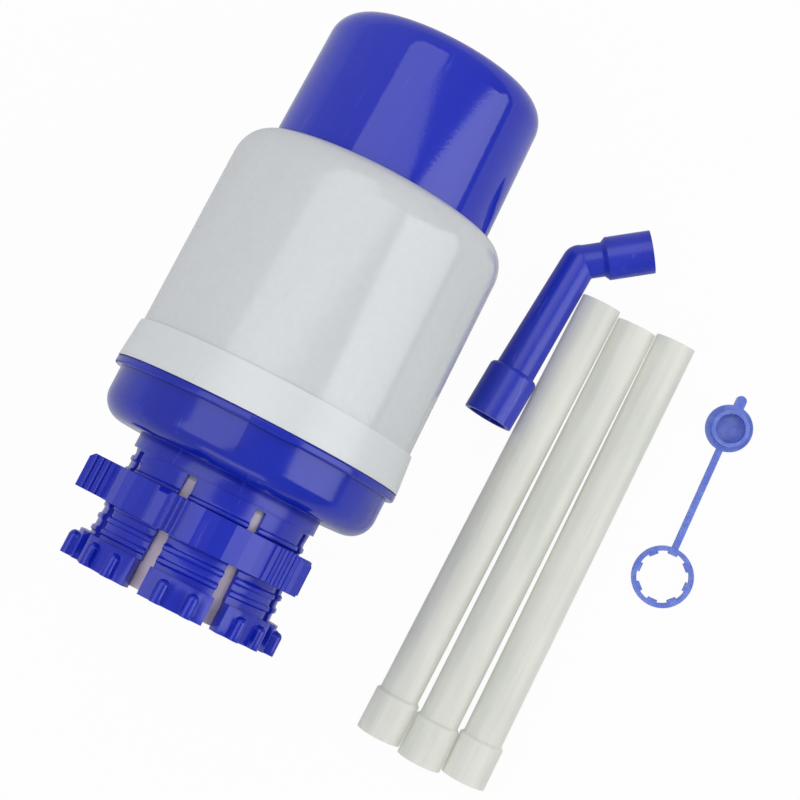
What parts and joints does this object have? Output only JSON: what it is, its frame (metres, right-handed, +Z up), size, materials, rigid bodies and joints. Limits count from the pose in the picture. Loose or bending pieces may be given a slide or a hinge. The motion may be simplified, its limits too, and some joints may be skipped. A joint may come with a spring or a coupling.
{
  "type": "water jug hand pump",
  "caption": "Hand pump for a large water jug, laid out as a kit with its bent spout, dip tubes and tethered dust cap.",
  "frame": {"origin": "centre of the kit's outline on the table, at table height", "axes": "+Z up from the table, +Y along the lying pump from its neck clamp to its press cap, +X towards the tubes and dust cap"},
  "size_m": [0.2117, 0.2218, 0.1074],
  "materials": {
    "blue_gloss": "glossy moulded polypropylene",
    "housing_white": "satin cool white moulded shell",
    "seal_white": "soft white sleeve",
    "rubber_grey": "matt",
    "rubber_black": "matt",
    "steel": "plain",
    "inner_white": "plain moulding",
    "bellows_milky": "milky blow moulding",
    "tube_milky": "milky translucent extrusion",
    "blue_soft": "soft translucent moulding"
  },
  "bodies": {
    "pump_body": {"housing": "housing_white", "bellows": "bellows_milky", "bellows_clamp_ring": "inner_white", "deck_screws": "steel", "valve_deck": "inner_white", "delivery_valve_cage": "inner_white", "base_gasket": "rubber_black", "base_bowl": "blue_gloss", "dip_stem": "inner_white", "stem_o_ring": "rubber_black", "neck_clamp": "blue_gloss", "neck_screws": "steel", "mouth_gasket": "rubber_grey", "neck_seal": "seal_white"},
    "press_cap": {"press_cap": "blue_gloss", "guide_plate": "inner_white", "cap_screws": "steel", "inlet_valve_cage": "inner_white"},
    "inlet_valve": {"inlet_valve_disc": "rubber_grey"},
    "delivery_valve": {"delivery_valve_disc": "rubber_grey"},
    "lock_ring": {"lock_ring": "blue_gloss"},
    "spout": {"spout": "blue_gloss"},
    "dip_tube_1": {"dip_tube_1": "tube_milky"},
    "dip_tube_2": {"dip_tube_2": "tube_milky"},
    "dip_tube_3": {"dip_tube_3": "tube_milky"},
    "dust_cap": {"dust_cap": "blue_soft"}
  },
  "joints": [
    {"name": "press_stroke", "type": "slide", "parent": "pump_body", "child": "press_cap", "axis": [0, -0.9952, 0.0976], "range_m": [0, 0.042], "stiffness_N_per_m": 700, "springref_m": -0.008, "deforming": ["bellows"]},
    {"name": "lock_ring_turn", "type": "hinge", "parent": "pump_body", "child": "lock_ring", "pos_m": [-0.05485, -0.06674, 0.05945], "axis": [0, 0.9952, -0.0976], "range_deg": [-1020, 510]},
    {"name": "inlet_valve_drop", "type": "slide", "parent": "press_cap", "child": "inlet_valve", "axis": [0, -0.9952, 0.0976], "range_m": [0, 0.0015]},
    {"name": "delivery_valve_drop", "type": "slide", "parent": "pump_body", "child": "delivery_valve", "axis": [0, -0.9952, 0.0976], "range_m": [0, 0.0015]},
    {"name": "spout_lift", "type": "slide", "parent": "pump_body", "child": "spout", "axis": [0, 0, 1], "range_m": [0, 0.06]},
    {"name": "dip_tube_1_lift", "type": "slide", "parent": "pump_body", "child": "dip_tube_1", "axis": [0, 0, 1], "range_m": [0, 0.06]},
    {"name": "dip_tube_2_lift", "type": "slide", "parent": "pump_body", "child": "dip_tube_2", "axis": [0, 0, 1], "range_m": [0, 0.06]},
    {"name": "dip_tube_3_lift", "type": "slide", "parent": "pump_body", "child": "dip_tube_3", "axis": [0, 0, 1], "range_m": [0, 0.06]},
    {"name": "dust_cap_lift", "type": "slide", "parent": "pump_body", "child": "dust_cap", "axis": [0, 0, 1], "range_m": [0, 0.06]}
  ]
}
